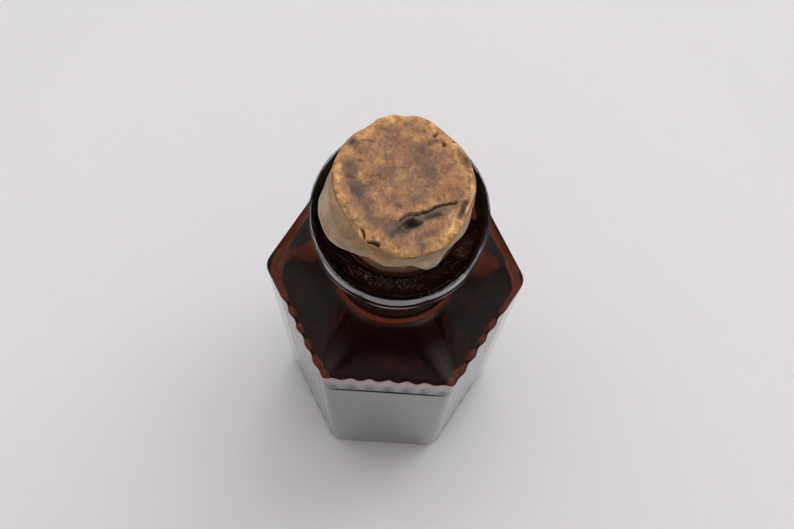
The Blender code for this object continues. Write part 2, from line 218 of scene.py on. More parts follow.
def spaced(path, most):
    """The same path with points added, so that no step along it is longer than `most`."""
    lengths = np.hypot(*np.diff(path, axis=0).T)
    counts = np.maximum(1, np.ceil(lengths / most)).astype(int)
    start = np.repeat(np.arange(len(counts)), counts)
    within = np.arange(counts.sum()) - np.repeat(np.cumsum(counts) - counts, counts)
    share = (within / np.repeat(counts, counts))[:, None]
    return np.vstack([path[start] + (path[start + 1] - path[start]) * share, path[-1:]])


# %% [markdown]
# ## The glass: one surface from the base to the inside of the base
#
# The bottle was blown or pressed in a two-part mould, so its outside is crisp and its inside soft.
# A renderer bends light at each surface of glass, so the bottle needs its real wall: the surface
# climbs the outside, turns over the lip, goes down through the bore and ends inside on the base.
# It could be made by cutting one shape from another. A single grid is better here, because the
# rounded lip and the fluted walls then have even faces, which keeps reflections clean.

# %% Sizes of the bottle, in millimetres
FLAT = -bottle_low.y / MM  # from the axis to a face
FACE_WIDTH = 2 * FLAT / sqrt(3)
LIP_TOP = bottle_high.z / MM
SHOULDER_EDGE = 76.0
WALL, EDGE_WALL, SHOULDER_WALL, BASE = 2.6, 0.7, 2.15, 4.5  # thinnest at the shoulder's edge
INNER_EDGE_RADIUS, INNER_CORNER, INNER_SHIFT = 6.5, 2.0, 0.10  # soft and set back: no mould inside
CORNER, SEAM_CORNER, HEEL = 2.5, 2.4, 3.0  # radii of upright corners and foot
PUSH_UP_RADIUS, PUSH_UP_DEPTH, PUSH_UP_ROUND = 10.5, 1.0, 0.8  # the base's middle is pushed up
FLUTES, SIDE_FLUTES, FLUTE_DEPTH, RUNOUT = 7, 5, 0.30, 2.6  # a flute fades out over the run-out
PANEL_TOP, PANEL_PROUD, PANEL_LEDGE = 67.2, 0.15, 0.20  # the label panel under the flutes
SHOULDER_RISE, EDGE_RADIUS, SHOULDER_CROWN = 7.4, 0.6, 0.30  # the crown bows the slope outwards
NECK, NECK_FILLET = 9.3, 2.4
LIP, LIP_HEIGHT, LIP_EDGE, LIP_CROWN, UNDERCUT = 11.8, 5.8, 0.34, 0.05, 1.6
BEAD, GROOVE = 1.3, 0.2  # the bead at the lip's foot and the groove above it
GROOVE_EDGE, GROOVE_FLOOR = 0.15, 0.08  # radii
MOUTH, MOUTH_EDGE, SEAT, FUNNEL_DEPTH, BORE_TAPER = 11.1, 0.50, 7.9, 2.7, 0.080
MOULD_WAVER, BLOWN_WAVER = (0.05, 7.0), (0.25, 9.0)  # unevenness outside and inside, its size
CORK_FOOT = cork_low.z / MM
CORK_TOP = cork_high.z / MM

PITCH = FACE_WIDTH / FLUTES
WALL_END = PANEL_TOP - 0.6  # just under the label panel's ledge
NECK_FOOT = SHOULDER_EDGE + SHOULDER_RISE
LIP_FOOT = LIP_TOP - LIP_HEIGHT
SEAT_HEIGHT = LIP_TOP - FUNNEL_DEPTH

FLUTE_COLUMNS, STRIP_COLUMNS, BACK_COLUMNS = 10, 17, 31  # of the grid, for each flute and face
BASE_STEP, WALL_STEP, SHOULDER_STEP, INSIDE_STEP = 1.2, 2.4, 0.65, 2.0
print("flutes", round(PITCH, 2), "mm apart, lip top at", round(LIP_TOP, 1), "mm")


# %% Outlines of the bottle
def hexagon(turns, flat, corner, seam_corner):
    """Distance from the axis to a hexagon with rounded corners, whose front face looks to -90
    degrees. Off a face's middle by an angle a it is flat / cos a, and round a corner it is where a ray
    meets the corner's circle: c cos b + the square root of r² - (c sin b)², with b the angle from the
    corner and c its circle's distance. The mould's seams run along the corners at 0 and 180."""
    off = np.radians(np.abs((turns + 120) % 60 - 30))
    at_seam = np.abs((turns + 90) % 180 - 90) < 30
    radius = np.minimum(np.where(at_seam, seam_corner, corner), flat)
    centre = (flat - radius) / cos(pi / 6)
    across = centre * np.sin(pi / 6 - off)
    arc = centre * np.cos(pi / 6 - off) + np.sqrt(np.maximum(radius**2 - across**2, 0))
    starts = np.arctan2((flat - radius) * tan(pi / 6), flat)
    return np.where(off > starts, arc, flat / np.cos(off))


def flute_dip(turns, height):
    """How deep the flutes cut, and how far the front band stands back. Across the flutes the depth
    is a cosine wave, so ridges are as round as hollows. Faces are numbered from the front, 0, round
    to 5. The two beside the front have fewer flutes, which start at the front corners. Below, they
    all run out to nothing."""
    face = np.floor((turns + 120) / 60) % 6
    off = np.radians((turns + 120) % 60 - 30)
    place = (FLAT * np.tan(off) + FACE_WIDTH / 2) / PITCH
    place = np.where(face == 5, FLUTES - place, place)
    front = face == 0
    side = ((face == 1) | (face == 5)) & (place < SIDE_FLUTES)
    groove = (1 - np.cos(2 * pi * place)) / 2
    above_ledge = smooth_step(height, PANEL_TOP, PANEL_TOP + PANEL_LEDGE)
    ledge_end = smooth_step(height, PANEL_TOP + PANEL_LEDGE, PANEL_TOP + PANEL_LEDGE + RUNOUT)
    heel_end = smooth_step(height, HEEL, HEEL + RUNOUT)
    band = above_ledge * front * np.clip(np.minimum(place, FLUTES - place), 0, 1)
    return FLUTE_DEPTH * groove * (front * ledge_end + side * heel_end), PANEL_PROUD * band


def glass_turns():
    """Directions of the columns: even steps across each flute, closer together round a corner."""
    steps = np.arange(FLUTES * FLUTE_COLUMNS + 1) / FLUTE_COLUMNS * PITCH - FACE_WIDTH / 2
    front = np.degrees(np.arctan(steps / FLAT))
    fluted = front[: SIDE_FLUTES * FLUTE_COLUMNS + 1]
    side = np.concatenate([fluted, np.linspace(fluted[-1], 30, STRIP_COLUMNS)[1:]])
    back = 30 * np.sin(np.linspace(-pi / 2, pi / 2, BACK_COLUMNS))
    faces = [front, side, back, back, back, -side[::-1]]
    return np.concatenate([-90 + 60 * number + face[:-1] for number, face in enumerate(faces)])


# %% The bottle's profile, outside and inside
slope = np.arctan2(SHOULDER_RISE, FLAT - NECK)
domed = np.linspace(0.5, PUSH_UP_RADIUS, 9)
dome = [(out, PUSH_UP_DEPTH * (1 - (out / PUSH_UP_RADIUS) ** 2), 0) for out in domed[:-1].tolist()]
base_path = filleted([
    *dome,
    (PUSH_UP_RADIUS, 0, PUSH_UP_ROUND),
    (FLAT, 0, HEEL),
    (FLAT, 2 * HEEL),
], steps=7)
wall_path = np.array([(FLAT, 2 * HEEL), (FLAT, WALL_END)])
ledge = [(FLAT, PANEL_TOP + share * PANEL_LEDGE, 0) for share in (0, 0.25, 0.5, 0.75, 1)]
bow = np.linspace(0, 1, 12)[1:-1]
slope_line = np.stack([
    FLAT + (NECK - FLAT) * bow + SHOULDER_CROWN * np.sin(pi * bow) * sin(slope),
    SHOULDER_EDGE + SHOULDER_RISE * bow + SHOULDER_CROWN * np.sin(pi * bow) * cos(slope),
], axis=-1)
slope_points = [(out, up, 0) for out, up in slope_line[2:-3].tolist()]  # the rest is for the fillets
shoulder_path = filleted([
    (FLAT, WALL_END),
    *ledge,
    (FLAT, SHOULDER_EDGE, EDGE_RADIUS),
    *slope_points,
    (NECK, NECK_FOOT, NECK_FILLET),
    (NECK, LIP_FOOT - UNDERCUT, UNDERCUT / 2),
    (LIP, LIP_FOOT, LIP_EDGE),
    (LIP, LIP_FOOT + BEAD - GROOVE, GROOVE_EDGE),
    (LIP - GROOVE, LIP_FOOT + BEAD, GROOVE_FLOOR),
    (LIP, LIP_FOOT + BEAD + GROOVE, GROOVE_EDGE),
    (LIP + LIP_CROWN, LIP_FOOT + LIP_HEIGHT / 2, 0),
    (LIP, LIP_TOP, LIP_EDGE),
    (MOUTH, LIP_TOP, MOUTH_EDGE),
    (SEAT, SEAT_HEIGHT, FUNNEL_DEPTH / 2),
    (SEAT - BORE_TAPER * (SEAT_HEIGHT - CORK_FOOT), CORK_FOOT),
])
throat = SEAT - BORE_TAPER * (SEAT_HEIGHT - CORK_FOOT)
inner_flat = FLAT - EDGE_WALL
inner_edge = SHOULDER_EDGE + EDGE_WALL * tan(slope) - SHOULDER_WALL / cos(slope)
inner_foot = inner_edge + (inner_flat - throat) * tan(slope)
inside_path = filleted([
    (throat, CORK_FOOT),
    (throat, inner_foot, NECK_FILLET),
    (inner_flat, inner_edge, INNER_EDGE_RADIUS),
    (FLAT - WALL, BASE, HEEL),
    (0.6, BASE),
], steps=16)
outside = np.vstack([
    spaced(base_path, BASE_STEP)[:-1],
    spaced(wall_path, WALL_STEP)[:-1],
    spaced(shoulder_path, SHOULDER_STEP)[:-1],
])
inside = spaced(inside_path, INSIDE_STEP)
print("stations along the profile:", len(outside), "outside,", len(inside), "inside")


# %% The glass surface
def glass_points():
    """Every point of the glass: the hexagon's distance at each station, less the flutes. Up the
    shoulder a corner grows from its small radius to the neck's by the share s of the way in: outside
    by s to the power 0.8, inside by s. The push-up and all from the neck up are round."""
    turns = glass_turns()[None]
    out, up = outside[:, :1], outside[:, 1:]
    inset = np.clip((FLAT - out) / (FLAT - NECK), 0, 1)
    grown = np.where(up > PANEL_TOP, inset**0.8, 0)
    domed_part = (up < BASE) & (out <= PUSH_UP_RADIUS)
    turned_part = domed_part | (up > NECK_FOOT - 0.2)
    corner = np.where(turned_part, out, CORNER + (NECK - CORNER) * grown)
    seam = np.where(turned_part, out, SEAM_CORNER + (NECK - SEAM_CORNER) * grown)
    dip, stand_back = flute_dip(turns, up)
    fade = np.clip(1 - (FLAT - out) / EDGE_RADIUS, 0, 1)
    outer = hexagon(turns, out, corner, seam) - (dip + stand_back) * fade * (up > BASE / 2)
    outer_points = on_axis(turns, outer, up)
    out, up = inside[:, :1], inside[:, 1:]
    grown = np.where(up > SHOULDER_EDGE / 2, np.clip((inner_flat - out) / (inner_flat - throat), 0, 1), 0)
    corner = np.minimum(INNER_CORNER + (throat - INNER_CORNER) * grown, out)
    inner_points = on_axis(turns, hexagon(turns, out, corner, corner), up)
    inner_points[..., 1] += INNER_SHIFT * (1 - grown)
    return outer_points, inner_points


def waver(points, amount, size, seed):
    """Moves points towards the axis by a soft noise, from nothing to `amount`."""
    share = (soft_noise(points, size, seed) + 1) / 2 * amount
    out = np.maximum(np.hypot(points[..., 0], points[..., 1]), 0.001)
    moved = points.copy()
    moved[..., :2] *= (1 - share / out)[..., None]
    return moved


outer_points, inner_points = glass_points()
outer_points = waver(outer_points, *MOULD_WAVER, seed=3)
inner_points = waver(inner_points, *BLOWN_WAVER, seed=8)
glass_rows = np.vstack([outer_points, inner_points])
glass_poles = [(0, 0, PUSH_UP_DEPTH), (0, INNER_SHIFT, BASE)]
glass_mesh = grid_mesh("bottle_glass", glass_rows, glass_poles)


# %% [markdown]
# ## Amber glass
#
# Old medicine bottles are soda-lime glass, coloured with iron and sulphur to keep light out. The
# colour is in the glass and not on it, so the surface stays clear and the volume takes the light
# away: over a distance d in metres, e to the power -density (1 - tint) d of each channel is left, so
# blue and green fall to a third in about a millimetre and red in about two. That is why thick glass
# looks black and the thin edge of the shoulder glows red-brown. The tint, and how thin the wall is at
# that edge, aren't known: values were tried until the render came near the photo. The index of
# refraction of soda-lime glass is 1.52.

# %% The glass material
AMBER_TINT, AMBER_DENSITY = (0.73, 0.53, 0.43, 1.0), 1700.0


def amber_glass():
    """A clear surface, smeared by handling and a little rippled, over a volume that absorbs."""
    material, tree = empty_material("moulded_amber_glass")
    place = add_node(tree, "ShaderNodeTexCoord").outputs["Object"]
    smears = add_node(tree, "ShaderNodeTexNoise", {
        "Vector": place, "Scale": per_metre(6.0), "Detail": 5.0, "Roughness": 0.65,
    })
    roughness = add_node(tree, "ShaderNodeMapRange", {
        "Value": smears.outputs["Fac"], "From Min": 0.45, "From Max": 0.75, "To Min": 0.02, "To Max": 0.06,
    })
    ripple = add_node(tree, "ShaderNodeTexNoise", {
        "Vector": place, "Scale": per_metre(2.2), "Detail": 2.0,
    })
    bump = add_node(tree, "ShaderNodeBump", {
        "Height": ripple.outputs["Fac"], "Strength": 0.05, "Distance": 0.1 * MM,
    })
    shader = add_node(tree, "ShaderNodeBsdfPrincipled", {
        "Base Color": linear("FFFFFF"), "IOR": 1.52, "Transmission Weight": 1.0,
        "Roughness": roughness.outputs["Result"], "Normal": bump.outputs["Normal"],
    })
    volume = add_node(tree, "ShaderNodeVolumeAbsorption", {
        "Color": AMBER_TINT, "Density": AMBER_DENSITY,
    })
    add_node(tree, "ShaderNodeOutputMaterial", {
        "Surface": shader.outputs["BSDF"], "Volume": volume.outputs["Volume"],
    })
    return material


add_piece("bottle_glass", glass_mesh, "bottle", "bottle", amber_glass())

# %% [markdown]
# ## The cork
#
# The stopper is bark, punched out and shaved to a taper. Its top has dried and shrunk and its edge
# is nicked. A crack with a deep hollow beside it runs across the front, and a shallow one follows the
# edge at the right. The surface is again one grid: up the side, round the worn edge and in over the
# top. What cuts into it is written as marks, each with a place and a size, so that the same marks can
# both lower the surface and darken it.

# %% Sizes and marks of the cork, in millimetres
SEAT_CORK = 7.6  # radius at the bore's mouth
HEAD_TAPER, HEAD_OVAL, OVAL_TURN = 0.125, 0.055, 170.0
WORN_EDGE, FOOT_EDGE = 0.7, 0.6  # radii
CRACK_HALF = 0.16  # half a crack's width
CRACKS = (  # corners, depth
    (((-0.2, -4.35), (1.4, -3.85), (3.0, -3.10), (6.6, -1.75)), 0.90),
    (((6.4, 5.0), (7.5, 3.7), (8.1, 2.3), (8.3, -0.1)), 0.22),
)
HOLLOWS = (  # middle, half sizes, turn in degrees, depth
    ((1.7, -4.80), (1.60, 0.55), 20, 1.10),
    ((0.3, -5.90), (1.00, 0.35), 12, 0.30),
    ((4.2, -3.65), (1.20, 0.35), 20, 0.35),
    ((-4.35, -6.45), (0.24, 0.80), 17, 0.70),
    ((-3, -7.65), (0.95, 0.30), 4, 1.00),
    ((7.80, -2.20), (0.45, 0.95), -14, 0.45),
    ((7.85, 3.50), (0.55, 1.15), 20, 0.35),
    ((4.70, 5.70), (0.30, 0.40), 30, 0.45),
    ((3.80, 6.75), (0.32, 0.26), 30, 0.40),
    ((-2.9, 0.75), (0.55, 0.35), 10, 0.25),
    ((-6.4, 4.90), (0.70, 0.35), 40, 0.30),
)
CUTS = (  # direction, half width in degrees, depth
    (-142, 56, 1.22), (-102, 26, 0.55), (-52, 26, -0.28), (2, 26, -0.30),
    (25, 10, -0.12), (54, 24, 0.46), (90, 9, 0.20), (124, 17, 0.36),
)
# The two ovals along the front rim, at y -7 and -7.6, paint shade on that edge; the rest are stains in the
# cork.
STAINS_AND_SHADE = (  # middle, half sizes, turn in degrees, strength
    ((-6.4, 1.4), (1.2, 2.2), 25, 0.9), ((-5.2, -1), (1.2, 2), 33, 1),
    ((-4, -3.1), (1.1, 1.7), 35, 0.9), ((-2.7, -5), (1.2, 1), 35, 0.8),
    ((-6.1, 4.9), (1.3, 0.8), 40, 1), ((3.1, 2.1), (1.4, 2.5), 30, 0.7),
    ((1.2, 4.9), (2.3, 0.9), -20, 0.5), ((7.2, 3.8), (0.7, 1.4), 25, 0.8),
    ((1.1, -5), (2.8, 1.35), 15, 1), ((3.4, -3.45), (4.4, 0.85), 20, 1),
    ((0.2, -5.9), (2, 1), 14, 1), ((4.3, -3.6), (1.9, 0.9), 20, 1),
    ((-1.2, -5.4), (1.3, 1), 14, 0.7), ((7.5, -2.9), (0.6, 1.2), -10, 1),
    ((-0.6, 1.5), (1.3, 1.1), 0, 0.45), ((0.6, -1.8), (3.5, 1.2), 8, 0.35),
    ((2.1, 7.1), (1.6, 0.8), -12, 0.55), ((-1, -7), (1.2, 0.5), 10, 0.5),
    ((1.5, -7.6), (5.5, 1.3), 4, 0.40), ((-5.2, -4.6), (1.2, 2.6), 30, 0.45),
)


# %% The cork's surface
def cork_radius(turns, height):
    """The solid cork's outline: the seat's radius plus the head's taper times the height above it,
    narrowed one way by the square of a cosine."""
    above = np.maximum(height - SEAT_HEIGHT, 0)
    below = np.minimum(height - SEAT_HEIGHT, 0)
    plain = SEAT_CORK + BORE_TAPER * below + HEAD_TAPER * above
    narrow = np.cos(np.radians(turns - OVAL_TURN)) ** 2
    return plain * (1 - HEAD_OVAL * narrow * above / (CORK_TOP - SEAT_HEIGHT))


def away_from(turns, direction, half_width):
    """How far round these directions are from one of them, in shares of a half width."""
    return np.abs((turns - direction + 180) % 360 - 180) / half_width


def cut_in(turns, height):
    """How far the cork's worn edge is cut in, from nothing 3 mm below the top to all of it."""
    cut = np.zeros(turns.shape)
    for direction, half_width, depth in CUTS:
        away = away_from(turns, direction, half_width)
        cut = cut + depth * np.cos(np.clip(away, 0, 1) * pi / 2) ** 2
    return cut * smooth_step(height, CORK_TOP - 3.0, CORK_TOP - 0.4)


def blot(points, oval, rim):
    """1 in the middle of an oval and 0 outside it, given its middle, half sizes and turn. The smooth
    step between lies where the share of the way to the oval's rim is between the two of `rim`."""
    middle, halves, turn = oval
    angle = radians(turn)
    across, along = points[..., 0] - middle[0], points[..., 1] - middle[1]
    first = (across * cos(angle) + along * sin(angle)) / halves[0]
    second = (along * cos(angle) - across * sin(angle)) / halves[1]
    return 1 - smooth_step(np.hypot(first, second), *rim)


def from_line(points, corners):
    """Distance in plan from each point to the nearest of a chain of straight lines."""
    nearest = np.full(points.shape[:-1], np.inf)
    for start, end in zip(np.array(corners[:-1]), np.array(corners[1:])):
        along = end - start
        share = np.clip((points[..., :2] - start) @ along / (along @ along), 0, 1)
        off = points[..., :2] - start - share[..., None] * along
        nearest = np.minimum(nearest, np.hypot(off[..., 0], off[..., 1]))
    return nearest


# %% The cork's grid
CORK_COLUMNS, FOOT_STEP, HEAD_STEP, INNERMOST = 384, 0.35, 0.15, 0.03
cork_turns = np.arange(CORK_COLUMNS) * 360 / CORK_COLUMNS
cork_foot = filleted([
    (INNERMOST, CORK_FOOT),
    (SEAT_CORK, CORK_FOOT, FOOT_EDGE),
    (SEAT_CORK, SEAT_HEIGHT),
])
cork_head = filleted([
    (SEAT_CORK, SEAT_HEIGHT),
    (SEAT_CORK, CORK_TOP, WORN_EDGE),
    (INNERMOST, CORK_TOP),
], steps=7)
cork_path = np.vstack([spaced(cork_foot, FOOT_STEP)[:-1], spaced(cork_head, HEAD_STEP)])
cork_share = cork_path[:, :1] / SEAT_CORK
cork_height = cork_path[:, 1:]
outline = cork_radius(cork_turns[None], cork_height) - cut_in(cork_turns[None], cork_height)
cork_points = on_axis(cork_turns[None], cork_share * outline, cork_height)
print("cork:", len(cork_path), "stations,", CORK_COLUMNS, "directions")


# %% Cracks, hollows, lumps and pores
WARPS = ((0.38, 1.1, 21), (0.16, 0.4, 26))  # how far a noise bends a mark's rim, its size and seed
LUMPS = ((0.10, 2.6, 31), (0.06, 0.9, 32))  # depth, size and seed
GRAIN = (0.035, 0.38, 33)
PORE_SIZE, PORE_DRAWN, PORE_LEVEL = 0.75, (1, 1.4, 0.45), 0.60  # pores are longer up the bark
HOLLOW_RIM, STAIN_RIM = (0.45, 1.1), (0.35, 1.25)

warped = cork_points.copy()
for axis in (0, 1):
    for amount, size, seed in WARPS:
        warped[..., axis] += amount * soft_noise(cork_points, size, seed + axis)
on_top = smooth_step(cork_height, CORK_TOP - 2.5, CORK_TOP - 0.3)
open_share = smooth_step(soft_noise(cork_points, 0.9, 24), -0.75, 0.15)  # cracks close in places
hollow = np.zeros(cork_points.shape[:-1])
for corners, depth in CRACKS:
    hollow = np.maximum(hollow, depth * (1 - smooth_step(from_line(warped, corners), 0.0, CRACK_HALF)))
hollow = hollow * open_share
for *oval, depth in HOLLOWS:
    hollow = np.maximum(hollow, depth * blot(warped, oval, HOLLOW_RIM))
hollow = hollow * on_top
lumps = sum(depth * soft_noise(cork_points, size, seed) for depth, size, seed in LUMPS)
grain = GRAIN[0] * soft_noise(cork_points, *GRAIN[1:])
pores = np.maximum(soft_noise(cork_points * PORE_DRAWN, PORE_SIZE, 34) - PORE_LEVEL, 0) * 1.1
sink = np.maximum(lumps + 0.12 + grain, 0) + 0.5 * pores  # what would stand proud is shaved off
print("deepest hollow", round(hollow.max(), 2), "mm, deepest lump", round(sink.max(), 2), "mm")


# %% The cork's surface and what its material reads
below_edge = 1 - smooth_step(cork_height, CORK_TOP - WORN_EDGE, CORK_TOP)
pushed_in = sink * smooth_step(cork_share, 0.9, 0.99) * below_edge
top_share = smooth_step(cork_height, CORK_TOP - WORN_EDGE, CORK_TOP - 0.1)
out = np.hypot(cork_points[..., 0], cork_points[..., 1])
cork_points[..., :2] *= (1 - pushed_in / np.maximum(out, 1))[..., None]
cork_points[..., 2] -= (sink * 0.8 + hollow) * top_share

stain_and_shade = np.zeros(out.shape)
for *oval, strength in STAINS_AND_SHADE:
    stain_and_shade = np.maximum(stain_and_shade, strength * blot(warped, oval, STAIN_RIM))
cork_marks = {
    # Painted shade in cracks and hollows: the deeper, the darker
    "hollow": np.clip(hollow / 0.5, 0, 1) * on_top,  # fully dark from 0.5 mm deep
    "stain_and_shade": stain_and_shade * on_top,
    "rim": smooth_step(out / outline + 0.05 * soft_noise(cork_points, 1.6, 41), 0.76, 0.92),
    # Pores painted dark by their depth: their own dark and painted shade
    "pore": np.clip(pores * 2.2, 0, 1),
    # Painted shade: the cork's side down in the mouth is darkened
    "side": 1 - smooth_step(cork_height, CORK_TOP - 9.5, CORK_TOP - 6.5) + np.zeros(out.shape),
}
cork_poles = [(0, 0, CORK_FOOT), (0, 0, cork_points[-1, :, 2].mean())]
cork_mesh = grid_mesh("cork_stopper", cork_points, cork_poles, cork_marks)


# %% [markdown]
# ## Old cork
#
# Cork is made of cells full of air, so it is matt and soft-looking. Fresh cork is light tan. Here
# the middle of the top has gone grey-brown with handling and what was in the bottle, and the rim is
# still orange-tan. The side that the mouth hides is painted dark brown as shade, and a band along the
# front rim is painted darker as shade. Cracks and hollows are painted nearly black as shade, the
# deeper the darker, and pores are painted dark by their depth, as their own dark and as shade. Noises
# of several sizes paint it, from patches of 1.7 mm to specks of 0.4 mm.

# %% Patterns of the cork
BARK_NOISES = {  # width of lumps in mm, seed, detail, roughness, length along Y
    "broad": (1.70, 1.0, 8.0, 0.72, 1.0),
    "fine": (0.42, 2.0, 5.0, 0.70, 1.0),
    "edge": (1.00, 3.0, 6.0, 0.70, 1.0),
    "smudges": (1.30, 4.0, 5.0, 0.70, 1.0),
    "streaks": (0.55, 7.0, 4.0, 0.60, 4.0),
    "flecks": (0.38, 5.0, 5.0, 0.70, 1.0),
    "specks": (0.40, 6.0, 5.0, 0.70, 1.0),
}
BARK_LEVELS = {  # the part of the noise that is read, and what it becomes
    "broad": ((0.62, 0.46), (0.70, 1.00)),
    "fine": ((0.33, 0.67), (0.76, 1.22)),
    "smudges": ((0.50, 0.60), (0.0, 0.60)),
    "streaks": ((0.55, 0.66), (0.0, 0.60)),
    "flecks": ((0.57, 0.68), (0.0, 0.45)),
    "specks": ((0.58, 0.68), (0.0, 0.50)),
}
BARK_MIDDLE = ((0.36, "5E3D2A"), (0.45, "885D3B"), (0.55, "A07046"), (0.66, "BC8B58"))
BARK_EDGE = ((0.34, "7E502B"), (0.44, "B17941"), (0.56, "D19D5F"), (0.68, "E4BD8A"))
print(len(BARK_NOISES), "noises,", len(BARK_LEVELS), "of them read in part")


# %% The cork material
def old_cork():
    """Tan cork under coats of grey, light and dark. How thick each lies is read from a noise, from
    marks of the surface or from both. One coat, of fine speckles, multiplies the colour instead."""
    material, tree = empty_material("dry_bark_cork")
    place = add_node(tree, "ShaderNodeTexCoord").outputs["Object"]
    share = {
        name: add_node(tree, "ShaderNodeAttribute", attribute_name=name).outputs["Fac"]
        for name in ("hollow", "stain_and_shade", "rim", "pore", "side")
    }
    noise = {}
    for name, (size_mm, seed, detail, roughness, length) in BARK_NOISES.items():
        drawn_out = add_node(tree, "ShaderNodeVectorMath", {
            0: place, 1: (1.0, 1 / length, 1.0),
        }, operation="MULTIPLY")
        noise[name] = add_node(tree, "ShaderNodeTexNoise", {
            "Vector": drawn_out.outputs["Vector"], "W": seed, "Scale": per_metre(size_mm),
            "Detail": detail, "Roughness": roughness,
        }, noise_dimensions="4D").outputs["Fac"]
    for name, ((low, high), (least, most)) in BARK_LEVELS.items():
        share[name] = add_node(tree, "ShaderNodeMapRange", {
            "Value": noise[name], "From Min": low, "From Max": high, "To Min": least, "To Max": most,
        }).outputs["Result"]
    deep = add_node(tree, "ShaderNodeMath", {
        0: share["hollow"], 1: share["pore"],
    }, operation="MAXIMUM").outputs["Value"]
    for name, first, second in (
        ("side", share["side"], 0.9),
        ("stain_and_shade", share["stain_and_shade"], share["broad"]),
        ("deep", deep, 0.9),
    ):
        share[name] = add_node(tree, "ShaderNodeMath", {
            0: first, 1: second,
        }, operation="MULTIPLY", use_clamp=True).outputs["Value"]
    middle = add_node(tree, "ShaderNodeValToRGB", {"Fac": noise["broad"]})
    set_ramp(middle, BARK_MIDDLE)
    edge = add_node(tree, "ShaderNodeValToRGB", {"Fac": noise["edge"]})
    set_ramp(edge, BARK_EDGE)
    colour = middle.outputs["Color"]
    for amount, coat, blend_type in (
        (share["rim"], edge.outputs["Color"], "MIX"),
        # painted shade on the cork's side down in the mouth
        (share["side"], linear("4E2E1B"), "MIX"),
        (share["smudges"], linear("634A3E"), "MIX"),
        (share["streaks"], linear("6E4A30"), "MIX"),
        (share["flecks"], linear("DBB283"), "MIX"),
        (share["specks"], linear("4B3226"), "MIX"),
        # stains, and painted shade along the front rim
        (share["stain_and_shade"], linear("4A372C"), "MIX"),
        (1.0, share["fine"], "MULTIPLY"),
        # painted shade in cracks and hollows, and the pores' own dark
        (share["deep"], linear("261914"), "MIX"),
    ):
        colour = add_node(tree, "ShaderNodeMix", {
            "Factor": amount, 6: colour, 7: coat,
        }, data_type="RGBA", blend_type=blend_type).outputs[2]
    bump = add_node(tree, "ShaderNodeBump", {
        "Height": noise["fine"], "Strength": 0.8, "Distance": 0.12 * MM,
    })
    shader = add_node(tree, "ShaderNodeBsdfPrincipled", {
        "Base Color": colour, "Roughness": 0.88, "Specular IOR Level": 0.25,
        "Normal": bump.outputs["Normal"],
    })
    add_node(tree, "ShaderNodeOutputMaterial", {"Surface": shader.outputs["BSDF"]})
    return material


add_piece("cork_stopper", cork_mesh, "cork", "cork", old_cork())

# %% [markdown]
# ## The dried skin
#
# Chemists tied wet bladder or parchment over a cork, and it dried as hard as horn. Here the top has
# gone, and what is left clings under the cork's edge and hangs in lobes, with a notch torn between
# the two at the front. It could be a cloth that is let fall. A formula is better here, because the
# lobes have a known place: it is a sleeve whose grid runs down the inside and back up the outside.

# %% Sizes and lobes of the skin
SKIN_TOP = CORK_TOP - 0.9
SKIN_BAND, LOBE_DROP, LOBE_FLARE = 4.2, 4.2, 1.9
LOBE_FLANK = 0.9  # share of a lobe's half width over which it rises
LOBE_SHARES = (  # direction, half width, then shares of the drop and flare
    (190, 58, 1.00, 1.00), (298, 18, 0.45, 0.42), (340, 24, 0.18, 0.22),
    (14, 32, 0.15, 0.30), (85, 46, 0.40, 0.25),
)
NOTCH, NOTCH_HALF, NOTCH_DEPTH = 251.0, 11.0, 2.6
FRAYS = ((0.25, 2.2, 51), (0.12, 0.8, 52))  # unevenness of the hem, its size and seed
CREASES = ((0.10, 1.5, 53, 0.35), (0.04, 0.8, 54, 1.0))  # depth, size, seed, share of the height
SKIN_LIFT, SKIN_LET_IN, SKIN_THICKNESS = 0.10, 0.08, 0.24
HEM_ROUND, TOP_ROUND = 0.07, 0.05  # how far the middle of an end stands out
SKIN_COLUMNS, SKIN_ROWS = 400, 40


# %% The skin's surface
def skin_sheet(turns, shares, outward):
    """A sheet that hangs round the cork: at a share s of the way down its distance is the cork's
    radius plus a flare that grows as s to the power 1.5, plus creases that grow with s too. Its top
    edge is let into the cork, and the sleeve is thinnest there."""
    drop, flare = np.zeros(turns.shape), np.zeros(turns.shape)
    for direction, half_width, drop_share, flare_share in LOBE_SHARES:
        swell = smooth_step(1 - away_from(turns, direction, half_width), 0, LOBE_FLANK)
        drop = np.maximum(drop, LOBE_DROP * drop_share * swell)
        flare = np.maximum(flare, LOBE_FLARE * flare_share * swell)
    ring = on_axis(turns, 9.0, 0.0)
    for amount, size, seed in FRAYS:
        drop = drop - amount * (1 + soft_noise(ring, size, seed))
    drop = drop - NOTCH_DEPTH * (1 - smooth_step(away_from(turns, NOTCH, NOTCH_HALF), 0, 1))
    heights = SKIN_TOP - shares * (SKIN_BAND + drop)
    creases = 0
    for depth, size, seed, rise in CREASES:
        creases = creases + depth * soft_noise(on_axis(turns, 9.0, rise * heights), size, seed)
    gap = SKIN_LIFT * shares + creases * shares - SKIN_LET_IN * (1 - shares) ** 6
    held = cork_radius(turns, heights) - cut_in(turns, heights)
    distances = held + gap + flare * shares**1.5
    return on_axis(turns, distances + outward * (0.4 + 0.6 * shares), heights)


skin_turns = (np.arange(SKIN_COLUMNS) * 360 / SKIN_COLUMNS)[None]
down = np.linspace(0, 1, SKIN_ROWS)[:, None]
inner_sheet = skin_sheet(skin_turns, down, 0.0)
edge_round = skin_sheet(skin_turns, np.array([[1.0]]), SKIN_THICKNESS / 2)
edge_round[..., 2] -= HEM_ROUND
top_round = skin_sheet(skin_turns, np.array([[0.0]]), SKIN_THICKNESS / 2)
top_round[..., 2] += TOP_ROUND
outer_sheet = skin_sheet(skin_turns, down[::-1], SKIN_THICKNESS)
skin_points = np.vstack([inner_sheet, edge_round, outer_sheet, top_round])
down_share = np.concatenate([down, [[1.0]], down[::-1], [[0.0]]])
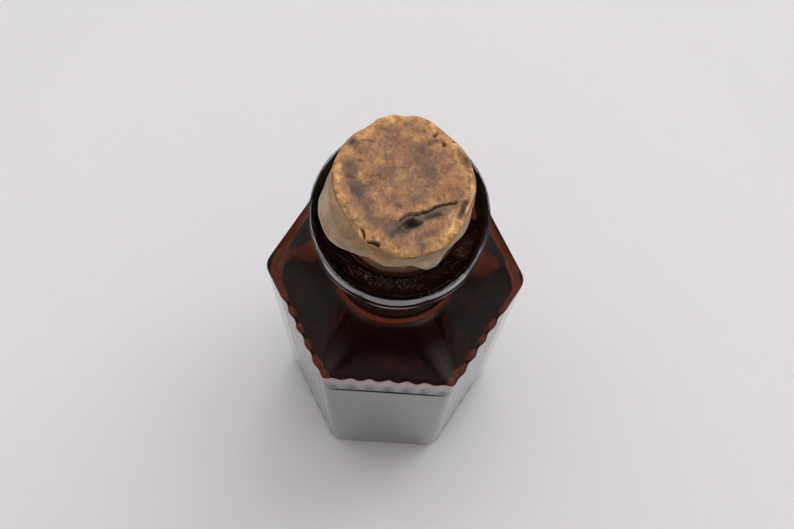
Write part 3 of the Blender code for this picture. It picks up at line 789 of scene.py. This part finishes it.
# The hem's lighter colour is a painted highlight along the skin's lower edge.
hem_highlight = smooth_step(down_share, 0.93, 0.98) + np.zeros(skin_turns.shape)
skin_mesh = grid_mesh("dried_skin", skin_points, marks={"hem_highlight": hem_highlight})
lowest, highest = inner_sheet[..., 2].min(), inner_sheet[..., 2].max()
print("skin: hangs", round(highest - lowest, 1), "mm down at its longest lobe")


# %% The skin material
def dried_skin():
    """Thin yellow-grey membrane that lets light through, with the same soft gloss all over."""
    material, tree = empty_material("dried_bladder_skin")
    place = add_node(tree, "ShaderNodeTexCoord").outputs["Object"]
    cloudy = add_node(tree, "ShaderNodeTexNoise", {
        "Vector": place, "Scale": per_metre(3.0), "Detail": 5.0, "Roughness": 0.6,
    }).outputs["Fac"]
    specks = add_node(tree, "ShaderNodeTexNoise", {
        "Vector": place, "Scale": per_metre(0.7), "Detail": 2.0,
    }).outputs["Fac"]
    colour = add_node(tree, "ShaderNodeValToRGB", {"Fac": cloudy})
    set_ramp(colour, ((0.34, "A07A50"), (0.50, "BA9567"), (0.64, "D3B78F")))
    spotted = add_node(tree, "ShaderNodeMapRange", {
        "Value": specks, "From Min": 0.30, "From Max": 0.37, "To Min": 0.65, "To Max": 0.0,
    })
    # A painted highlight: a lighter line along the hem
    hem_highlight = add_node(tree, "ShaderNodeAttribute", attribute_name="hem_highlight").outputs["Fac"]
    hem_highlighted = add_node(tree, "ShaderNodeMix", {
        "Factor": hem_highlight, 6: colour.outputs["Color"], 7: linear("E6D6C2"),
    }, data_type="RGBA")
    dirty = add_node(tree, "ShaderNodeMix", {
        "Factor": spotted.outputs["Result"], 6: hem_highlighted.outputs[2], 7: linear("4A382C"),
    }, data_type="RGBA")
    bump = add_node(tree, "ShaderNodeBump", {"Height": cloudy, "Strength": 0.3, "Distance": 0.2 * MM})
    shader = add_node(tree, "ShaderNodeBsdfPrincipled", {
        "Base Color": dirty.outputs[2], "Roughness": 0.42, "IOR": 1.45,
        "Transmission Weight": 0.35, "Normal": bump.outputs["Normal"],
    })
    add_node(tree, "ShaderNodeOutputMaterial", {"Surface": shader.outputs["BSDF"]})
    return material


add_piece("dried_skin", skin_mesh, "cork", "seal_skin", dried_skin())

# %% [markdown]
# ## Crumbs of cork in the funnel
#
# A cork this old sheds, and its crumbs lie in the funnel of the lip, mostly at the front. Each crumb
# is a twenty-sided lump, squashed and turned at random. They could be scattered by a particle system.
# Here they are made all at once as one array of crumbs by corners, and joined to one piece that rides
# on the bottle, so that the same crumbs come out each time.

# %% The crumbs
CRUMBS = 1100
CRUMB_LEAST, CRUMB_MOST = 0.020, 0.09  # half sizes in millimetres
CRUMB_FINENESS = 2.5  # the higher, the more of them are small
CRUMB_LIFT = 0.05  # the glass wavers inward by up to as much
CRUMB_HEAPS = ((-95.0, 20.0, 0.65), (-28.0, 7.0, 0.20), (-90.0, 60.0, 0.15))  # place, spread, share
CRUMB_RING, CRUMB_REACH = 8.3, 2.2  # how far out they start, and over what width they lie


def funnel_height(distance):
    """Height of the funnel's surface at a distance from the axis, read off the bottle's profile."""
    inner = shoulder_path[(shoulder_path[:, 1] > SEAT_HEIGHT) & (shoulder_path[:, 0] < MOUTH)]
    return np.interp(distance, *inner[np.argsort(inner[:, 0])].T)


def twenty_sided():
    """Corners and triangles of the regular solid with twenty faces: its corners are those of three
    golden rectangles that cross, and a face is any three corners that are all one edge apart."""
    golden = (1 + sqrt(5)) / 2
    flat = np.array([(a, b * golden) for a in (-1, 1) for b in (-1, 1)])
    zero = np.zeros((4, 1))
    solid = np.vstack([
        np.hstack([zero, flat]),
        np.hstack([flat, zero]),
        np.hstack([flat[:, 1:], zero, flat[:, :1]]),
    ]) / np.hypot(1, golden)
    gaps = np.linalg.norm(solid[:, None] - solid[None], axis=-1)
    near = (gaps > 0) & (gaps < gaps[gaps > 0].min() * 1.01)
    threes = np.argwhere(near[:, :, None] & near[:, None] & near[None])
    faces = threes[(threes[:, 0] < threes[:, 1]) & (threes[:, 1] < threes[:, 2])]
    sides = solid[faces[:, 1:]] - solid[faces[:, :1]]
    facing = np.sum(np.cross(sides[:, 0], sides[:, 1]) * solid[faces[:, 0]], axis=-1)
    faces[facing < 0] = faces[facing < 0][:, ::-1]
    return solid, faces


def crumb_points(random, solid):
    """Corners of every crumb: the solid's, each pushed in or out, squashed, turned about two axes,
    and set down on the funnel. Few crumbs are large: a half size is a random share to a power."""
    lumps = solid * random.uniform(0.75, 1.25, (CRUMBS, 12, 1)) * random.uniform(0.5, 1.0, (CRUMBS, 1, 3))
    for first, second in ((0, 1), (1, 2)):
        angle = random.uniform(0, 2 * pi, (CRUMBS, 1))
        one, two = lumps[..., first].copy(), lumps[..., second].copy()
        lumps[..., first] = one * np.cos(angle) - two * np.sin(angle)
        lumps[..., second] = one * np.sin(angle) + two * np.cos(angle)
    half = CRUMB_LEAST + (CRUMB_MOST - CRUMB_LEAST) * random.uniform(0, 1, CRUMBS) ** CRUMB_FINENESS
    places, spreads, shares = np.array(CRUMB_HEAPS).T
    heap = random.choice(len(CRUMB_HEAPS), CRUMBS, p=shares / shares.sum())
    turns = random.normal(places[heap], spreads[heap])
    distances = CRUMB_RING + CRUMB_REACH * random.beta(1.6, 1.8, CRUMBS)
    place = on_axis(turns, distances, funnel_height(distances) + CRUMB_LIFT + 0.8 * half)
    return lumps * half[:, None, None] + place[:, None]


def crumb_mesh():
    """All the crumbs as one mesh."""
    solid, faces = twenty_sided()
    points = crumb_points(np.random.default_rng(61), solid)
    every = faces[None] + len(solid) * np.arange(CRUMBS)[:, None, None]
    mesh = bpy.data.meshes.new("cork_crumbs")
    mesh.from_pydata((points.reshape(-1, 3) * MM).tolist(), [], every.reshape(-1, 3).tolist())
    mesh.shade_smooth()
    return mesh


def matt(name, roughness, specular):
    """A new matt material and the shader it starts with, which still needs its colour."""
    material = bpy.data.materials.new(name)
    material.use_nodes = True
    shader = material.node_tree.nodes["Principled BSDF"]
    shader.inputs["Roughness"].default_value = roughness
    shader.inputs["Specular IOR Level"].default_value = specular
    return material, shader


def crumb_brown():
    """Matt brown, lighter and darker from crumb to crumb."""
    material, shader = matt("cork_dust", 0.9, 0.2)
    tree = material.node_tree
    place = add_node(tree, "ShaderNodeTexCoord").outputs["Object"]
    shade = add_node(tree, "ShaderNodeTexNoise", {"Vector": place, "Scale": per_metre(0.5)}).outputs["Fac"]
    colour = add_node(tree, "ShaderNodeValToRGB", {"Fac": shade})
    set_ramp(colour, ((0.35, "352A24"), (0.50, "604C40"), (0.65, "8E7663")))
    tree.links.new(colour.outputs["Color"], shader.inputs["Base Color"])
    return material


add_piece("cork_crumbs", crumb_mesh(), "bottle", None, crumb_brown())

# %% [markdown]
# ## Table, room and light
#
# Glass shows what is round it more than what it is, so the room matters as much as the material.
# The table is large, pale and matt, and two big soft lamps light it from behind, so the shadow falls
# to the front. A photographer of glassware hangs black cloth and lights round the table to draw the
# glass's edges. Here one dome does that. It is dark, with soft glows where the glass should shine:
# dim ones low down for the slopes of the shoulder, two thin bright strips at the sides for the lip's
# outline there, and two boxes for its outline at the back. Its foot is a ring of black cloth that lies
# on the table from 95 mm out. What stood round the real bottle isn't known, so the glows' places and
# strengths were tried too. Only reflections see the dome. It casts no shadow, and it lights other
# things only as far as they shine.

# %% The table
TABLE_HALF, TABLE_GAP = 20.0, 0.05 * MM  # in metres; the gap keeps it from sharing the base's plane

table_corners = TABLE_HALF * np.array([(-1, -1, 0), (1, -1, 0), (1, 1, 0), (-1, 1, 0)]) - (0, 0, TABLE_GAP)
table_mesh = bpy.data.meshes.new("table")
table_mesh.from_pydata(table_corners.tolist(), [], [(0, 1, 2, 3)])
paint, paint_shader = matt("matt_table", 0.7, 0.1)
paint_shader.inputs["Base Color"].default_value = linear("DEDCDF")
table_mesh.materials.append(paint)
in_scene("table", table_mesh)
print("table", 2 * TABLE_HALF, "m wide")


# %% The room that reflections see
ROOM_RADIUS, CLOTH_RADIUS, CLOTH_LIFT = 300.0, 95.0, 1.0  # in millimetres
DARK = 0.03  # what a black cloth still gives back
FINE, COARSE, COARSE_FROM = 0.75, 3.0, 60.0  # steps in degrees; no glow reaches higher
ROOM_GLOWS = (  # azimuth and elevation, half sizes in degrees, brightness
    ((-90, 4), (70, 12), 0.14),
    ((-56, 17), (20, 14), 0.60),
    ((-126, 17), (16, 12), 0.25),
    ((-15, 9), (48, 20), 0.22),
    ((-165, 9), (48, 20), 0.22),
    ((90, -6), (110, 16), 0.26),
    ((-178, 42), (75, 3), 80),
    ((-8, 42), (60, 3), 80),
    ((58, 40), (32, 11), 15),
    ((124, 40), (30, 11), 15),
)


def room_light(azimuth, elevation):
    """How bright the dark room is in each direction: a dim grey plus soft ovals, each of which
    fades from full in its middle to nothing a little past its rim."""
    light = np.full(np.broadcast(azimuth, elevation).shape, DARK)
    for (turn, height), (half_turn, half_height), strength in ROOM_GLOWS:
        off = np.hypot(away_from(azimuth, turn, half_turn), (elevation - height) / half_height)
        light = light + strength * (1 - smooth_step(off, 0.0, 1.3))
    return light


def reflected_room():
    """A dome round the bottle and a ring of cloth at its foot, whose light comes from their marks."""
    material, tree = empty_material("dark_room")
    light = add_node(tree, "ShaderNodeAttribute", attribute_name="light").outputs["Fac"]
    glow = add_node(tree, "ShaderNodeEmission", {"Color": linear("FFFFFF"), "Strength": light})
    add_node(tree, "ShaderNodeOutputMaterial", {"Surface": glow.outputs["Emission"]})
    turns = np.arange(0, 360, 2.0)[None]
    lowest = -np.degrees(np.arcsin((SHOULDER_EDGE - CLOTH_LIFT) / ROOM_RADIUS))
    rise = np.concatenate([np.arange(lowest, COARSE_FROM, FINE), np.arange(COARSE_FROM, 90.0, COARSE)])
    rise = rise[:, None]
    wall = ROOM_RADIUS * np.cos(np.radians(rise))
    heights = SHOULDER_EDGE + ROOM_RADIUS * np.sin(np.radians(rise))
    cloth = np.array([[CLOTH_RADIUS], [wall[0, 0] - CLOTH_LIFT]])
    distances = np.vstack([cloth, wall])
    heights = np.vstack([np.full((2, 1), CLOTH_LIFT), heights])
    points = on_axis(turns, distances, heights)
    light = np.vstack([np.full((2, turns.size), DARK), room_light(turns, rise)])
    poles = [(0, 0, -ROOM_RADIUS), (0, 0, SHOULDER_EDGE + ROOM_RADIUS)]
    mesh = grid_mesh("dark_room", points, poles, {"light": light})
    mesh.materials.append(material)
    room = in_scene("dark_room", mesh)
    for ray in ("camera", "diffuse", "transmission", "volume_scatter", "shadow"):
        setattr(room, "visible_" + ray, False)
    print("dark room:", len(mesh.polygons), "faces, brightest", round(float(light.max()), 1))


reflected_room()


# %% Lamps and backdrop
def lamp(name, azimuth, elevation, distance, size, power):
    """A square soft lamp that points at the bottle's shoulder: where it stands in degrees and metres,
    its side in metres and its power in watts."""
    light = bpy.data.lights.new(name, "AREA")
    light.size = size
    light.energy = power
    source = in_scene(name, light)
    target = Vector((0, 0, SHOULDER_EDGE * MM))
    out = Vector(on_axis(azimuth, cos(radians(elevation)), sin(radians(elevation))))
    source.location = target + out * distance
    source.rotation_euler = out.to_track_quat("Z", "Y").to_euler()
    print(name, "lamp:", power, "W,", size, "m wide,", distance, "m away")


lamp("window", 52.0, 57.0, 1.1, 0.9, 6.7)
lamp("fill", 138.0, 60.0, 1.2, 0.8, 2.4)

# The world is a pale backdrop to the camera and through the glass, and a soft dim light to all else.
world = bpy.data.worlds.new("studio")
bpy.context.scene.world = world
world.use_nodes = True
tree = world.node_tree
tree.nodes.clear()
path = add_node(tree, "ShaderNodeLightPath")
seen = path.outputs["Is Camera Ray"]
for ray in ("Is Glossy Ray", "Is Transmission Ray"):
    seen = add_node(tree, "ShaderNodeMath", {
        0: seen, 1: path.outputs[ray],
    }, operation="MAXIMUM").outputs["Value"]
room = add_node(tree, "ShaderNodeBackground", {"Color": linear("F4F1F2"), "Strength": 0.56})
backdrop = add_node(tree, "ShaderNodeBackground", {"Color": linear("DEDCDF"), "Strength": 1.0})
mixed = add_node(tree, "ShaderNodeMixShader", {
    "Fac": seen, 1: room.outputs["Background"], 2: backdrop.outputs["Background"],
})
add_node(tree, "ShaderNodeOutputWorld", {"Surface": mixed.outputs["Shader"]})

# %% [markdown]
# ## Camera
#
# The picture is taken from close by and almost straight above. The camera's place was worked out
# from the six corners of the shoulder, and it is written here as a photographer would say it: what
# it looks at, from which side, how steeply, how far away and how much it is tilted.

# %% The camera
TARGET = Vector((0.192, 1.162, 76.0)) * MM
AZIMUTH, ELEVATION, ROLL = radians(-0.762), radians(75.781), radians(4.411)
DISTANCE = 209.53 * MM
LENS = 62.25  # on a 36 mm wide sensor

from_front = cos(ELEVATION)
back = Vector((sin(AZIMUTH) * from_front, -cos(AZIMUTH) * from_front, sin(ELEVATION)))
level = Vector((cos(AZIMUTH), sin(AZIMUTH), 0))
upright = back.cross(level)
right = level * cos(ROLL) + upright * sin(ROLL)
up = upright * cos(ROLL) - level * sin(ROLL)
camera = in_scene("camera", bpy.data.cameras.new("camera"))
camera.data.lens = LENS
camera.data.clip_start = 0.01  # the object is nearer than the usual 0.1 m
turned = Matrix((right, up, back)).transposed().to_4x4()
camera.matrix_world = Matrix.Translation(TARGET + back * DISTANCE) @ turned
bpy.context.scene.camera = camera
bpy.context.scene.view_settings.view_transform = "Standard"
print("camera at", [round(side / MM, 1) for side in camera.matrix_world.translation], "mm")
